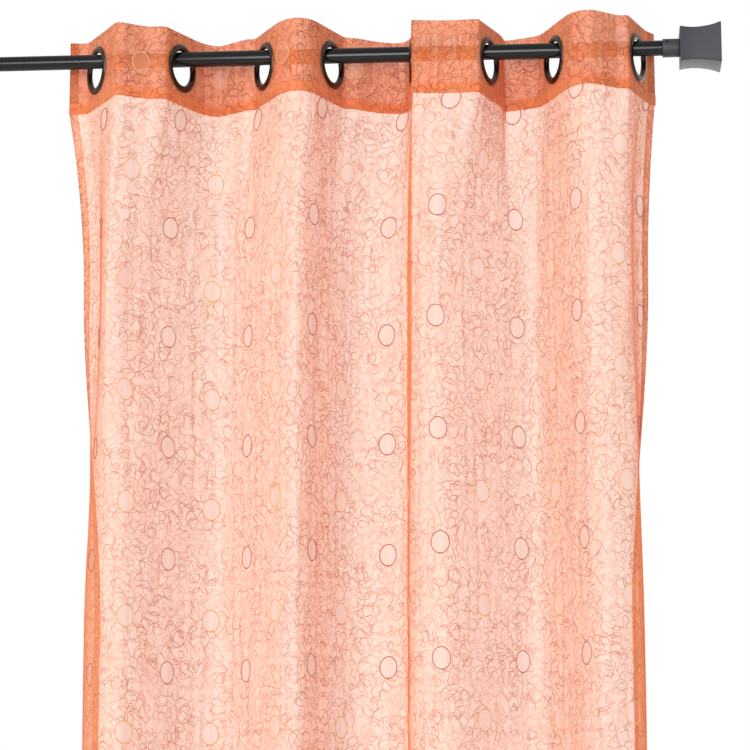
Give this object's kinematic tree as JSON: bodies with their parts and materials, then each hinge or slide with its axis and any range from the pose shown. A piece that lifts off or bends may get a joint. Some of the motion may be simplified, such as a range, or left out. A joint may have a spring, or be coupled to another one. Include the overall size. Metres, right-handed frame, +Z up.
{
  "type": "sheer voile eyelet curtain on a rod",
  "caption": "Long see-through voile curtain hanging in soft folds, threaded by metal eyelets onto a slim round rod with square end pieces.",
  "frame": {"origin": "on the rod's axis, above the middle of the curtain", "axes": "+X along the rod to the right, +Y to the back, +Z up; the front is seen from -Y"},
  "size_m": [0.9002, 0.1146, 2.399],
  "materials": {
    "voile": "sheer peach-orange polyester voile with a fine all-over stitched line and small stitched rings",
    "doubled_voile": "the same voile doubled for the heading, its lower edge turned",
    "black_nickel": "glossy dark nickel plate",
    "rod_enamel": "satin black enamel",
    "end_plastic": "matte anthracite"
  },
  "bodies": {
    "root": {"voile_panel": "voile", "heading_strip": "doubled_voile", "eyelet_1": "black_nickel", "eyelet_2": "black_nickel", "eyelet_3": "black_nickel", "eyelet_4": "black_nickel", "eyelet_5": "black_nickel", "eyelet_6": "black_nickel", "eyelet_7": "black_nickel", "eyelet_8": "black_nickel", "rod_thick_tube": "rod_enamel", "rod_thin_tube": "rod_enamel", "left_collar": "end_plastic", "left_end_piece": "end_plastic", "right_collar": "end_plastic", "right_end_piece": "end_plastic"}
  },
  "joints": []
}
